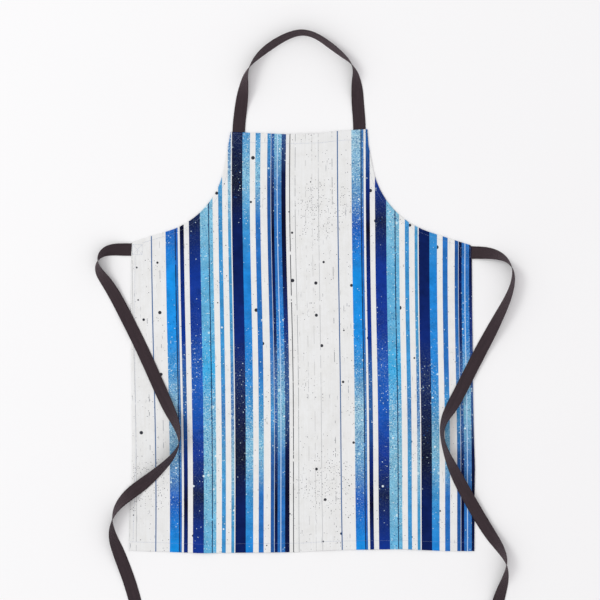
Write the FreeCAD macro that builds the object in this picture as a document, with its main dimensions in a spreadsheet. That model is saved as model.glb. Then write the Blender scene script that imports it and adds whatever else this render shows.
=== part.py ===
"""Bib apron lying flat with its front up: cloth, turnings, seams, neck strap and waist ties.

The origin is under the middle of the cloth, at the level of the surface that it lies on.
+X is to the right, +Y towards the bib and +Z up. Lengths are in millimetres, angles in degrees.
"""

import FreeCAD, Part
import math
import os
import Sketcher
from FreeCAD import Placement, Rotation, Vector

SIZES = {
    "panel_width": 688,  # side edge to side edge
    "panel_height": 844,  # bottom edge to the top of the bib
    "armhole_centre_x": 317,  # centre of the armhole's arc, from the middle line
    "armhole_centre_y": 380,  # and above the middle of the panel
    "armhole_radius": 168,
    "armhole_slope": 17.5,  # straight below the arc, above level
    "armhole_flare": 11,  # straight beside the bib, away from upright
    "cloth_thick": 0.5,
    "turning_thick": 1.0,  # two more layers of the cloth
    "side_turning": 10,
    "bottom_turning": 20,
    "bib_turning": 22,
    "seam_inset": 2,  # stitch row, from the turning's inner fold
    "thread_width": 0.6,
    "thread_height": 0.2,
    "webbing_width": 25,
    "webbing_thick": 1.0,
    "sewn_length": 25,  # webbing held under the cloth
    "notch_gap": 0.2,  # between a turning and the webbing that it stops at
    "box_side": 20,  # square of stitches over a sewn end
    "neck_end_x": 123,  # middle of the neck strap's sewn ends
    "tie_y": 181,  # middle of the ties' sewn ends
    "end_fold": 20,  # webbing folded back at a tie's free end
    "end_seam": 4,  # stitch row across that fold, from its inner edge
}

# Routes of the webbing: x, y, tilt about its own length, and height of its lower edge.
# Tilt 0 and 180 lie flat, 90 stands on edge. Positive tilt lifts the edge on the right hand side.
OVER_CLOTH = 1.8
NECK_ROUTE = [
    (-123, 397, 0, 0), (-123, 430, 0, 0), (-120, 468, 2, 0), (-115, 505, 36, 0), (-109, 544, 82, 0),
    (-74, 583, 127, 0), (-16, 617, 115, 0), (23, 616, 110, 0), (71, 582, 117, 0), (108, 550, 84, 0),
    (112, 507, 22, 0), (114, 469, 2, 0), (123, 434, 0, 0), (123, 398, 0, 0),
]
LEFT_ROUTE = [
    (-319, 181, 0, 0), (-350, 181, 0, 0), (-384, 184, 30, 0), (-404, 170, 75, 0), (-408, 145, 130, 0),
    (-380, 108, 165, OVER_CLOTH), (-349, 49, 180, OVER_CLOTH), (-312, -26, 182, OVER_CLOTH),
    (-273, -115, 178, OVER_CLOTH), (-241, -180, 118, OVER_CLOTH), (-246, -221, 72, OVER_CLOTH),
    (-300, -273, 32, OVER_CLOTH), (-358, -316, -40, OVER_CLOTH), (-378, -350, -80, 0),
    (-378, -386, -125, 0), (-361, -430, -165, 0), (-339, -490, -180, 0), (-320, -565, -180, 0),
    (-305, -640, -180, 0),
]
RIGHT_ROUTE = [
    (319, 181, 0, 0), (350, 181, 0, 0), (386, 176, 33, 0), (413, 163, 70, 0), (426, 138, 96, 0),
    (419, 98, 113, 0), (387, 34, 148, OVER_CLOTH), (348, -40, 180, OVER_CLOTH),
    (310, -116, 178, OVER_CLOTH), (280, -164, 108, OVER_CLOTH), (283, -208, 103, OVER_CLOTH),
    (316, -280, 165, OVER_CLOTH), (369, -372, 172, OVER_CLOTH), (407, -426, 120, 0), (412, -461, 60, 0),
    (393, -520, 10, 0), (377, -590, 0, 1.0), (368, -650, 0, 1.0),
]

LINE_STEP = 12.0  # longest piece between two sections of the webbing on a straight
ARC_STEP = 6.0  # and on an arc
VOLUME_SLACK = 0.02  # share by which a solid may differ from its section times its length

doc = FreeCAD.newDocument("bib_apron")
sheet = doc.addObject("Spreadsheet::Sheet", "sizes")
for row, (alias, value) in enumerate(SIZES.items(), 1):
    sheet.set(f"A{row}", alias.replace("_", " "))
    sheet.set(f"B{row}", str(value))
    sheet.setAlias(f"B{row}", alias)
doc.recompute()


def size(alias):
    return float(getattr(sheet, alias))


def bind(thing, **expressions):
    """Ties properties to the sheet: a double underscore in a name stands for a dot."""
    for name, expression in expressions.items():
        thing.setExpression(name.replace("__", "."), expression)


# Expressions that several sub-parts share.
HALF_WIDTH = "sizes.panel_width / 2"
HALF_HEIGHT = "sizes.panel_height / 2"
CLOTH_TOP = "sizes.turning_thick + sizes.cloth_thick"
TIE_TOP = "sizes.tie_y + sizes.webbing_width / 2 + sizes.notch_gap"
TIE_BOTTOM = "sizes.tie_y - sizes.webbing_width / 2 - sizes.notch_gap"
NECK_END_LOW = f"{HALF_HEIGHT} - sizes.sewn_length - sizes.notch_gap"
SLOPE_ANGLE = "(180 - sizes.armhole_slope) * 1 deg"
FLARE_ANGLE = "(90 + sizes.armhole_flare) * 1 deg"


def box(label, length, width, height, x, y, z):
    """A box whose lengths and lowest corner are expressions."""
    block = doc.addObject("Part::Box", label)
    block.Label = label
    bind(block, Length=length, Width=width, Height=height)
    bind(block, Placement__Base__x=x, Placement__Base__y=y, Placement__Base__z=z)
    return block


def mirrored(source, label):
    """The left-hand copy of a right-hand sub-part."""
    copy = doc.addObject("Part::Mirroring", label)
    copy.Label = label
    copy.Source = source
    copy.Base = Vector(0, 0, 0)
    copy.Normal = Vector(1, 0, 0)
    return copy


def padded_body(label, draw, height, z):
    """A body with one sketch on its XY plane, raised to z and padded."""
    body = doc.addObject("PartDesign::Body", label)
    body.Label = label
    sketch = body.newObject("Sketcher::SketchObject", label + "_outline")
    planes = [f for f in body.Origin.OriginFeatures if f.Role == "XY_Plane"]
    sketch.AttachmentSupport = [(planes[0], "")]
    sketch.MapMode = "FlatFace"
    bind(sketch, AttachmentOffset__Base__z=z)
    draw(sketch)
    pad = body.newObject("PartDesign::Pad", label + "_pad")
    pad.Profile = sketch
    bind(pad, Length=height)
    body.Tip = pad
    return body


class Drawing:
    """Lines and arcs added to a sketch one after another, and constraints bound to the sheet."""

    def __init__(self, sketch):
        self.sketch = sketch

    def line(self, a, b):
        return self.sketch.addGeometry(Part.LineSegment(Vector(*a, 0), Vector(*b, 0)), False)

    def arc(self, centre, radius, a, b):
        circle = Part.Circle(Vector(*centre, 0), Vector(0, 0, 1), radius)
        return self.sketch.addGeometry(Part.ArcOfCircle(circle, a, b), False)

    def tie(self, kind, *what):
        return self.sketch.addConstraint(Sketcher.Constraint(kind, *what))

    def measure(self, kind, *what, value, expression):
        index = self.sketch.addConstraint(Sketcher.Constraint(kind, *what, value))
        self.sketch.setExpression(f"Constraints[{index}]", expression)


START, END, CENTRE = 1, 2, 3
ORIGIN = (-1, 1)
UP_AXIS = -2


def armhole(inset):
    """Right armhole's edge moved into the cloth by inset: tangent points, centre, radius and directions."""
    slope = math.radians(size("armhole_slope"))
    flare = math.radians(size("armhole_flare"))
    centre = Vector(size("armhole_centre_x"), size("armhole_centre_y"), 0)
    radius = size("armhole_radius") + inset
    low = centre - Vector(math.sin(slope), math.cos(slope), 0) * radius
    high = centre - Vector(math.cos(flare), math.sin(flare), 0) * radius
    return low, high, centre, radius, slope, flare


def on_slope(inset, x=None, y=None):
    """Point of the straight below the arc, at a given x or y."""
    low, _, _, _, slope, _ = armhole(inset)
    if y is None:
        return x, low.y - (x - low.x) * math.tan(slope)
    return low.x + (low.y - y) / math.tan(slope), y


def on_flare(inset, y):
    """Point of the straight beside the bib, at a given y."""
    _, high, _, _, _, flare = armhole(inset)
    return high.x - (y - high.y) * math.tan(flare), y


def draw_panel(sketch):
    """The cloth's outline, symmetrical about the middle line."""
    pen = Drawing(sketch)
    side, top = size("panel_width") / 2, size("panel_height") / 2
    low, high, centre, radius, slope, flare = armhole(0)
    waist, bib = on_slope(0, x=side), on_flare(0, top)
    start, stop = math.pi + flare, 1.5 * math.pi - slope
    bottom = pen.line((-side, -top), (side, -top))
    right = pen.line((side, -top), waist)
    right_slope = pen.line(waist, (low.x, low.y))
    right_arc = pen.arc((centre.x, centre.y), radius, start, stop)
    right_flare = pen.line((high.x, high.y), bib)
    crown = pen.line(bib, (-bib[0], top))
    left_flare = pen.line((-bib[0], top), (-high.x, high.y))
    left_arc = pen.arc((-centre.x, centre.y), radius, 3 * math.pi - stop, 3 * math.pi - start)
    left_slope = pen.line((-low.x, low.y), (-waist[0], waist[1]))
    left = pen.line((-waist[0], waist[1]), (-side, -top))
    for a, b in ((bottom, right), (right, right_slope), (right_flare, crown), (crown, left_flare),
                 (left_slope, left), (left, bottom)):
        pen.tie("Coincident", a, END, b, START)
    pen.tie("Tangent", right_slope, END, right_arc, END)
    pen.tie("Tangent", right_arc, START, right_flare, START)
    pen.tie("Tangent", left_flare, END, left_arc, END)
    pen.tie("Tangent", left_arc, START, left_slope, START)
    pen.tie("Vertical", right)
    pen.tie("Symmetric", bottom, START, bottom, END, UP_AXIS)
    pen.tie("Symmetric", left_arc, CENTRE, right_arc, CENTRE, UP_AXIS)
    pen.tie("Equal", left_arc, right_arc)
    pen.tie("Symmetric", crown, START, crown, END, UP_AXIS)
    pen.tie("Symmetric", left_slope, END, right_slope, START, UP_AXIS)
    pen.measure("DistanceX", bottom, START, bottom, END, value=2 * side, expression="sizes.panel_width")
    pen.measure("DistanceY", bottom, START, *ORIGIN, value=top, expression=HALF_HEIGHT)
    pen.measure("DistanceY", *ORIGIN, crown, START, value=top, expression=HALF_HEIGHT)
    pen.measure("DistanceX", *ORIGIN, right_arc, CENTRE, value=centre.x, expression="sizes.armhole_centre_x")
    pen.measure("DistanceY", *ORIGIN, right_arc, CENTRE, value=centre.y, expression="sizes.armhole_centre_y")
    pen.measure("Radius", right_arc, value=radius, expression="sizes.armhole_radius")
    pen.measure("Angle", right_slope, value=math.pi - slope, expression=SLOPE_ANGLE)
    pen.measure("Angle", right_flare, value=math.pi / 2 + flare, expression=FLARE_ANGLE)


def draw_armhole_strip(outer, inner):
    """A strip along the right armhole between two insets, (value, expression) each."""

    def draw(sketch):
        pen = Drawing(sketch)
        side, floor_y = size("panel_width") / 2, tie_top()
        roof_y = neck_end_low()
        low_a, high_a, centre, radius_a, slope, flare = armhole(outer[0])
        low_b, high_b, _, radius_b, _, _ = armhole(inner[0])
        start, stop = math.pi + flare, 1.5 * math.pi - slope
        corner = outer[0] == 0
        outer_foot = on_slope(outer[0], x=side) if corner else on_slope(outer[0], y=floor_y)
        inner_foot = on_slope(inner[0], y=floor_y)
        outer_top, inner_top = on_flare(outer[0], roof_y), on_flare(inner[0], roof_y)
        slope_a = pen.line(outer_foot, (low_a.x, low_a.y))
        arc_a = pen.arc((centre.x, centre.y), radius_a, start, stop)
        flare_a = pen.line((high_a.x, high_a.y), outer_top)
        roof = pen.line(outer_top, inner_top)
        flare_b = pen.line(inner_top, (high_b.x, high_b.y))
        arc_b = pen.arc((centre.x, centre.y), radius_b, start, stop)
        slope_b = pen.line((low_b.x, low_b.y), inner_foot)
        foot_end = (side, floor_y) if corner else outer_foot
        foot = pen.line(inner_foot, foot_end)
        for a, b in ((flare_a, roof), (roof, flare_b), (slope_b, foot)):
            pen.tie("Coincident", a, END, b, START)
        if corner:
            riser = pen.line(foot_end, outer_foot)
            pen.tie("Coincident", foot, END, riser, START)
            pen.tie("Coincident", riser, END, slope_a, START)
            pen.tie("Vertical", riser)
            pen.measure("DistanceX", *ORIGIN, riser, START, value=side, expression=HALF_WIDTH)
        else:
            pen.tie("Coincident", foot, END, slope_a, START)
        pen.tie("Tangent", slope_a, END, arc_a, END)
        pen.tie("Tangent", arc_a, START, flare_a, START)
        pen.tie("Tangent", flare_b, END, arc_b, START)
        pen.tie("Tangent", arc_b, END, slope_b, START)
        pen.tie("Coincident", arc_b, CENTRE, arc_a, CENTRE)
        pen.tie("Horizontal", roof)
        pen.tie("Horizontal", foot)
        pen.tie("Parallel", slope_a, slope_b)
        pen.tie("Parallel", flare_a, flare_b)
        pen.measure("Angle", slope_a, value=math.pi - slope, expression=SLOPE_ANGLE)
        pen.measure("Angle", flare_a, value=math.pi / 2 + flare, expression=FLARE_ANGLE)
        pen.measure("DistanceX", *ORIGIN, arc_a, CENTRE, value=centre.x, expression="sizes.armhole_centre_x")
        pen.measure("DistanceY", *ORIGIN, arc_a, CENTRE, value=centre.y, expression="sizes.armhole_centre_y")
        pen.measure("Radius", arc_a, value=radius_a, expression="sizes.armhole_radius + " + outer[1])
        pen.measure("Radius", arc_b, value=radius_b, expression="sizes.armhole_radius + " + inner[1])
        pen.measure("DistanceY", *ORIGIN, foot, START, value=floor_y, expression=TIE_TOP)
        pen.measure("DistanceY", *ORIGIN, roof, START, value=roof_y, expression=NECK_END_LOW)

    return draw


def tie_top():
    return size("tie_y") + size("webbing_width") / 2 + size("notch_gap")


def neck_end_low():
    return size("panel_height") / 2 - size("sewn_length") - size("notch_gap")


def box_stitch(label, x, y):
    """Square of stitches with both diagonals, its lowest corner at x, y, on top of the cloth."""
    side, line = "sizes.box_side", "sizes.thread_width"
    far_x, far_y = f"{x} + {side} - {line}", f"{y} + {side} - {line}"
    rows = [
        (side, line, x, y), (side, line, x, far_y),
        (line, side, x, y), (line, side, far_x, y),
    ]
    strips = []
    for number, (length, width, place_x, place_y) in enumerate(rows, 1):
        strips.append(box(f"{label}_side_{number}", length, width, "sizes.thread_height",
                          place_x, place_y, CLOTH_TOP))
    for number, (turn, corner_x) in enumerate(((45, x), (135, f"{x} + {side}")), 1):
        diagonal = box(f"{label}_diagonal_{number}", f"{side} * sqrt(2)", line, "sizes.thread_height",
                       corner_x, y, CLOTH_TOP)
        diagonal.Placement.Rotation = Rotation(Vector(0, 0, 1), turn)
        strips.append(diagonal)
    stitches = doc.addObject("Part::MultiFuse", label)
    stitches.Label = label
    stitches.Shapes = strips
    stitches.Refine = True
    return stitches


def rounded_route(points):
    """Straight runs joined by tangent arcs, and the distances along them at which each point stands."""
    flat = [Vector(x, y, 0) for x, y, _, _ in points]
    runs = [(b - a).Length for a, b in zip(flat, flat[1:])]
    edges, stations, radii = [], [0.0], []
    here, length = flat[0], 0.0
    for number in range(1, len(flat) - 1):
        before = (flat[number] - flat[number - 1]).normalize()
        after = (flat[number + 1] - flat[number]).normalize()
        turn = before.getAngle(after)
        tangent = 0.45 * min(runs[number - 1], runs[number])
        radius = tangent / math.tan(turn / 2)
        enter, leave = flat[number] - before * tangent, flat[number] + after * tangent
        middle = flat[number] + (after - before).normalize() * (radius / math.cos(turn / 2) - radius)
        edges += [Part.LineSegment(here, enter).toShape(), Part.Arc(enter, middle, leave).toShape()]
        length += (enter - here).Length
        stations.append(length + radius * turn / 2)
        length += radius * turn
        here = leave
        radii.append(radius)
    edges.append(Part.LineSegment(here, flat[-1]).toShape())
    stations.append(length + (flat[-1] - here).Length)
    return Part.Wire(edges), stations, radii


def between(stations, values, distance):
    """Straight interpolation of the points' values along the route."""
    for start, stop, low, high in zip(stations, stations[1:], values, values[1:]):
        if distance <= stop:
            return low + (high - low) * (distance - start) / (stop - start)
    return values[-1]


def cross_section(point, heading, tilt, lift, width, thick):
    """The webbing's rectangle across its route, its lower edge at the height lift."""
    right = Vector(heading.y, -heading.x, 0)
    up = Vector(0, 0, 1)
    across = right * math.cos(tilt) + up * math.sin(tilt)
    normal = up * math.cos(tilt) - right * math.sin(tilt)
    rise = lift + width / 2 * abs(math.sin(tilt)) + thick / 2 * abs(math.cos(tilt))
    centre = Vector(point.x, point.y, rise)
    corners = [centre + across * (a * width / 2) + normal * (b * thick / 2)
               for a, b in ((-1, -1), (1, -1), (1, 1), (-1, 1))]
    return Part.makePolygon(corners + corners[:1])


def webbing(label, points):
    """Flat webbing along a route, as a ruled solid through its cross sections."""
    width, thick = size("webbing_width"), size("webbing_thick")
    path, stations, radii = rounded_route(points)
    tilts = [math.radians(point[2]) for point in points]
    lifts = [point[3] for point in points]
    sections, travelled = [], 0.0
    for edge in path.Edges:
        step = ARC_STEP if isinstance(edge.Curve, Part.Circle) else LINE_STEP
        pieces = max(1, math.ceil(edge.Length / step))
        for number in range(pieces + (edge.isSame(path.Edges[-1]))):
            along = edge.Length * number / pieces
            place = edge.getParameterByLength(along)
            distance = travelled + along
            sections.append(cross_section(edge.valueAt(place), edge.tangentAt(place),
                                          between(stations, tilts, distance),
                                          between(stations, lifts, distance), width, thick))
        travelled += edge.Length
    strap = doc.addObject("Part::Feature", label)
    strap.Label = label
    strap.Shape = Part.makeLoft(sections, True, True)
    strap.Placement = Placement(Vector(0, 0, 0), Rotation())
    expected = width * thick * travelled
    print(f"{label}: length {travelled:.0f}, volume {strap.Shape.Volume:.0f} against {expected:.0f}, "
          f"radii {[round(radius) for radius in radii]}")
    if abs(strap.Shape.Volume / expected - 1) > VOLUME_SLACK:
        raise RuntimeError(f"{label} folds over itself: its volume isn't its section times its length")
    return strap


def end_pieces(side, points, fold_lift):
    """The folded end of a tie and the stitch row across it, square to the route's last run."""
    last, before = points[-1], points[-2]
    heading = Vector(last[0] - before[0], last[1] - before[1], 0).normalize()
    turn = math.degrees(math.atan2(heading.y, heading.x))
    right = Vector(heading.y, -heading.x, 0)
    tip = Vector(last[0], last[1], 0)
    width, fold = size("webbing_width"), size("end_fold")
    end_fold = doc.addObject("Part::Box", f"{side}_tie_end_hem")
    bind(end_fold, Length="sizes.end_fold", Width="sizes.webbing_width", Height="sizes.webbing_thick")
    corner = tip - heading * fold + right * (width / 2)
    end_fold.Placement = Placement(Vector(corner.x, corner.y, fold_lift), Rotation(Vector(0, 0, 1), turn))
    seam = doc.addObject("Part::Box", f"{side}_tie_end_thread")
    bind(seam, Length="sizes.thread_width", Width="sizes.webbing_width - sizes.end_seam",
         Height="sizes.thread_height")
    corner = tip - heading * (fold - size("end_seam")) + right * ((width - size("end_seam")) / 2)
    seam.Placement = Placement(Vector(corner.x, corner.y, 2 * size("webbing_thick")),
                               Rotation(Vector(0, 0, 1), turn))
    for piece in (end_fold, seam):
        piece.Label = piece.Name
    return [end_fold, seam]


def turnings():
    """The edges folded to the back, under the panel."""
    neck_inner = "(sizes.neck_end_x - sizes.webbing_width / 2 - sizes.notch_gap)"
    tall = "sizes.turning_thick"
    bottom = box("bottom_hem", "sizes.panel_width", "sizes.bottom_turning", tall,
                 f"-{HALF_WIDTH}", f"-{HALF_HEIGHT}", "0")
    crown = box("bib_hem", f"2 * {neck_inner}", "sizes.bib_turning", tall,
                f"-{neck_inner}", f"{HALF_HEIGHT} - sizes.bib_turning", "0")
    side_foot = f"-{HALF_HEIGHT} + sizes.bottom_turning"
    right = box("right_side_hem", "sizes.side_turning", f"{TIE_BOTTOM} - ({side_foot})", tall,
                f"{HALF_WIDTH} - sizes.side_turning", side_foot, "0")
    strip = draw_armhole_strip((0, "0"), (size("side_turning"), "sizes.side_turning"))
    armhole_turning = padded_body("right_armhole_hem", strip, tall, "0")
    return [bottom, crown, right, mirrored(right, "left_side_hem"), armhole_turning,
            mirrored(armhole_turning, "left_armhole_hem")]


def seams():
    """The stitch rows that hold the turnings, seen on the front of the cloth."""
    line, tall = "sizes.thread_width", "sizes.thread_height"
    bottom_y = f"-{HALF_HEIGHT} + sizes.bottom_turning - sizes.seam_inset"
    bottom = box("bottom_hem_thread", f"sizes.panel_width - 2 * {line}", line, tall,
                 f"-{HALF_WIDTH} + {line}", bottom_y, CLOTH_TOP)
    box_inner = "(sizes.neck_end_x - sizes.box_side / 2 - sizes.seam_inset)"
    crown = box("bib_hem_thread", f"2 * {box_inner}", line, tall,
                f"-{box_inner}", f"{HALF_HEIGHT} - sizes.bib_turning + sizes.seam_inset", CLOTH_TOP)
    inset = "sizes.side_turning - sizes.seam_inset"
    right = box("right_side_hem_thread", line, f"{TIE_BOTTOM} - ({bottom_y}) - 2 * {line}", tall,
                f"{HALF_WIDTH} - ({inset})", f"{bottom_y} + 2 * {line}", CLOTH_TOP)
    near = size("side_turning") - size("seam_inset")
    strip = draw_armhole_strip((near, f"({inset})"), (near + size("thread_width"), f"({inset} + {line})"))
    curved = padded_body("right_armhole_thread", strip, tall, CLOTH_TOP)
    return [bottom, crown, right, mirrored(right, "left_side_hem_thread"), curved,
            mirrored(curved, "left_armhole_thread")]


def box_stitches():
    """Squares of stitches through the cloth and the four sewn ends of webbing."""
    margin = "(sizes.sewn_length - sizes.box_side) / 2"
    neck = box_stitch("right_neck_box_stitch", "sizes.neck_end_x - sizes.box_side / 2",
                      f"{HALF_HEIGHT} - {margin} - sizes.box_side")
    tie = box_stitch("right_tie_box_stitch", f"{HALF_WIDTH} - {margin} - sizes.box_side",
                     "sizes.tie_y - sizes.box_side / 2")
    return [neck, mirrored(neck, "left_neck_box_stitch"), tie, mirrored(tie, "left_tie_box_stitch")]


sub_parts = [padded_body("apron_panel", draw_panel, "sizes.cloth_thick", "sizes.turning_thick")]
sub_parts += turnings() + seams() + box_stitches()
sub_parts += [webbing("neck_strap", NECK_ROUTE), webbing("left_waist_tie", LEFT_ROUTE),
              webbing("right_waist_tie", RIGHT_ROUTE)]
# The left tie ends back side up, so its fold lies on top. The right tie's fold lies beneath it.
sub_parts += end_pieces("left", LEFT_ROUTE, size("webbing_thick"))
sub_parts += end_pieces("right", RIGHT_ROUTE, 0)

doc.recompute()
for thing in doc.Objects:
    if "Invalid" in thing.State or "Error" in thing.State:
        raise RuntimeError(f"{thing.Label} failed: {thing.State}")
for part in sub_parts:
    if part.Shape.isNull() or not part.Shape.isValid() or not part.Shape.Solids:
        raise RuntimeError(f"{part.Label} has no valid solid")

os.makedirs("parts", exist_ok=True)
for part in sub_parts:
    part.Shape.exportStep(os.path.join("parts", part.Label + ".step"))
    print(part.Label, len(part.Shape.Solids), "solid", round(part.Shape.Volume), "mm3")
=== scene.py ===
"""Looks for the bib apron: printed cloth, turned edges, seams, neck strap and waist ties.

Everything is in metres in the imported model's frame: +X right, +Y to the bib, +Z up out of the cloth.
"""

import math

import bmesh
import bpy
import numpy as np
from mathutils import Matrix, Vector, kdtree


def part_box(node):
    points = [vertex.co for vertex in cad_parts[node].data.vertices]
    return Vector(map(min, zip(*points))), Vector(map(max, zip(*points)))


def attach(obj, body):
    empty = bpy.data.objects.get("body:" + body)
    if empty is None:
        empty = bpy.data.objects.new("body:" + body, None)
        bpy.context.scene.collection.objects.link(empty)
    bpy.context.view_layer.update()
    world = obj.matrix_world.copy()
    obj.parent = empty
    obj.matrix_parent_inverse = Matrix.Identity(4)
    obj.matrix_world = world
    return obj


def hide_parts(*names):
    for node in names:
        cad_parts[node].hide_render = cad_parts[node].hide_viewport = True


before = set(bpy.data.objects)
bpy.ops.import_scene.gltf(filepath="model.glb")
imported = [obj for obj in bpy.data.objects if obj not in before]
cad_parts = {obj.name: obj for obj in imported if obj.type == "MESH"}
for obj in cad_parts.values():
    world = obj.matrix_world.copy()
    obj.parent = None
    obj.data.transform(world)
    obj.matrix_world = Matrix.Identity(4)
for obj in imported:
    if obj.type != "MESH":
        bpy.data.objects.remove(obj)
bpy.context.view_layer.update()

BODY = "root"
MM = 0.001

# ---------------------------------------------------------------- sizes
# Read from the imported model, or else the numbers that its solids are made from.
panel_low, panel_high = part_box("apron_panel")
HALF_WIDTH = panel_high[0]
TOP, BOTTOM = panel_high[1], panel_low[1]
CLOTH = panel_high[2] - panel_low[2]
TURNING = panel_low[2]
SIDE_TURNING = panel_high[0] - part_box("right_side_hem")[0][0]
BOTTOM_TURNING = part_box("bottom_hem")[1][1] - BOTTOM
BIB_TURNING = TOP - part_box("bib_hem")[0][1]
TIE_GAP_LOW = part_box("right_side_hem")[1][1]
TIE_GAP_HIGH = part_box("right_armhole_hem")[0][1]
NECK_GAP_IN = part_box("bib_hem")[1][0]
NECK_GAP_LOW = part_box("right_armhole_hem")[1][1]
BOX_SIDE = 20 * MM
SEAM_INSET = 2 * MM  # stitch row, from the turning's inner fold
WAIST = 195.33 * MM  # height of the corner where the armhole meets the side edge
SLOPE_END = (266.5 * MM, 219.8 * MM)  # straight part below the armhole's arc
ARC_CENTRE, ARC_RADIUS = (317 * MM, 380 * MM), 168 * MM
FLARE_START = (152.1 * MM, 347.9 * MM)  # straight part beside the bib
BIB_HALF = 137.69 * MM
WEBBING_WIDTH = 25 * MM
WEBBING_THICK = 1 * MM
END_FOLD = 20 * MM

# ---------------------------------------------------------------- camera
VIEW_CENTRE = (-2 * MM, 83 * MM)
VIEW_SIDE = 1.2  # the square that the picture covers on the floor
CAMERA_HEIGHT = 5.0
camera_data = bpy.data.cameras.new("camera")
camera_data.sensor_width = 36
camera_data.lens = 36 * CAMERA_HEIGHT / VIEW_SIDE
camera_data.clip_end = 50
camera = bpy.data.objects.new("camera", camera_data)
camera.location = (*VIEW_CENTRE, CAMERA_HEIGHT)
bpy.context.collection.objects.link(camera)
bpy.context.scene.camera = camera

# ---------------------------------------------------------------- routes of the webbing
# The solids' own routes in millimetres: x, y, tilt in degrees about the webbing's own length, and
# height of its lower edge.
OVER_CLOTH = 1.8
NECK_ROUTE = [
    (-123, 397, 0, 0), (-123, 430, 0, 0), (-120, 468, 2, 0), (-115, 505, 36, 0), (-109, 544, 82, 0),
    (-74, 583, 127, 0), (-16, 617, 115, 0), (23, 616, 110, 0), (71, 582, 117, 0), (108, 550, 84, 0),
    (112, 507, 22, 0), (114, 469, 2, 0), (123, 434, 0, 0), (123, 398, 0, 0),
]
LEFT_ROUTE = [
    (-319, 181, 0, 0), (-350, 181, 0, 0), (-384, 184, 30, 0), (-404, 170, 75, 0), (-408, 145, 130, 0),
    (-380, 108, 165, OVER_CLOTH), (-349, 49, 180, OVER_CLOTH), (-312, -26, 182, OVER_CLOTH),
    (-273, -115, 178, OVER_CLOTH), (-241, -180, 118, OVER_CLOTH), (-246, -221, 72, OVER_CLOTH),
    (-300, -273, 32, OVER_CLOTH), (-358, -316, -40, OVER_CLOTH), (-378, -350, -80, 0),
    (-378, -386, -125, 0), (-361, -430, -165, 0), (-339, -490, -180, 0), (-320, -565, -180, 0),
    (-305, -640, -180, 0),
]
RIGHT_ROUTE = [
    (319, 181, 0, 0), (350, 181, 0, 0), (386, 176, 33, 0), (413, 163, 70, 0), (426, 138, 96, 0),
    (419, 98, 113, 0), (387, 34, 148, OVER_CLOTH), (348, -40, 180, OVER_CLOTH),
    (310, -116, 178, OVER_CLOTH), (280, -164, 108, OVER_CLOTH), (283, -208, 103, OVER_CLOTH),
    (316, -280, 165, OVER_CLOTH), (369, -372, 172, OVER_CLOTH), (407, -426, 120, 0), (412, -461, 60, 0),
    (393, -520, 10, 0), (377, -590, 0, 1.0), (368, -650, 0, 1.0),
]
LINE_RESOLUTION = 16  # samples of the spline for each of its spans
SEWN_REACH = 34 * MM  # the sewn end lies flat this far
CURL = 0.35 * MM  # how far loose webbing cups across its width


# ---------------------------------------------------------------- how the cloth lies
def ramp(value, low, high):
    """0 below low, 1 above high, smooth in between."""
    t = np.clip((np.asarray(value, float) - low) / (high - low), 0, 1)
    return t * t * (3 - 2 * t)


# Soft ridges: x, y, direction of the ridge in degrees from +X, half length, half width, height. Lengths
# are in millimetres.
RIDGES = [
    (20, -150, 68, 150, 26, 2.4), (70, -60, 60, 120, 34, 1.6), (-70, 300, 82, 120, 30, 1.5),
    (60, 330, 100, 110, 26, 1.8), (-200, 120, 50, 140, 34, 2.2), (220, 130, 128, 140, 36, 2.0),
    (-140, -60, 95, 170, 40, 1.6), (150, -240, 84, 150, 30, 1.9), (-90, -330, 102, 130, 32, 2.1),
    (60, -380, 80, 90, 24, 2.2), (-290, -240, 78, 120, 28, 1.7), (300, -120, 98, 150, 28, 1.6),
    (-20, 120, 30, 110, 40, 1.4), (250, -330, 70, 110, 26, 1.8), (-200, -400, 88, 80, 22, 2.0),
    (110, 60, 150, 120, 34, 1.2), (-300, 60, 120, 90, 30, 1.2), (0, 395, 92, 60, 26, 1.0),
    (32, -198, 65, 85, 10, 1.7), (62, -200, 62, 55, 12, 1.3), (8, -262, 44, 55, 13, 1.5),
    (-20, -120, 78, 60, 12, 1.0), (-230, -120, 100, 90, 13, 1.3), (215, -60, 80, 90, 13, 1.3),
    (-120, 200, 62, 70, 13, 1.2), (90, 240, 112, 70, 13, 1.2),
]
# Ripples: direction in radians from +X, millimetres per radian of the wave, height in millimetres.
RIPPLES = [
    (0.9, 31, 0.28), (2.2, 47, 0.22), (4.1, 68, 0.16),
    (5.3, 90, 0.12), (1.4, 23, 0.30), (3.3, 38, 0.20),
]


def waves(x, y):
    """Height that the resting cloth's wrinkles add, in metres."""
    x, y = np.asarray(x, float) * 1000, np.asarray(y, float) * 1000
    height = np.zeros_like(x)
    for cx, cy, turn, half_length, half_width, tall in RIDGES:
        c, s = math.cos(math.radians(turn)), math.sin(math.radians(turn))
        along = (x - cx) * c + (y - cy) * s
        across = -(x - cx) * s + (y - cy) * c
        across = across + 9 * np.sin(along / 55 + cx)
        height += tall * np.exp(-((along / half_length) ** 2) - (across / half_width) ** 2)
    for turn, pace, tall in RIPPLES:
        phase = x / pace * math.cos(turn) + y / pace * math.sin(turn) + 3 * turn
        height += tall * (0.5 + 0.5 * np.sin(phase))
    return height * MM


def nearest_edge(x, y):
    """Distance in from the panel's edge."""
    found = [EDGE_TREE.find((a, b, 0))[2] for a, b in zip(np.ravel(x), np.ravel(y))]
    return np.array(found).reshape(np.shape(x))


OVER_SEWN_END = 0.7 * MM  # how much higher the cloth lies over webbing than over its turnings
BY_FOOT, BY_TOP = 0.06, 0.05  # so near to the bottom or the top, the depth is that edge's turning's
NECK_ROOT = (0.123, 0.410)  # the middle of the strap's sewn end, on the right
TIE_ROOT = (0.331, 0.181)  # the middle of the tie's sewn end, on the right


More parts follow.
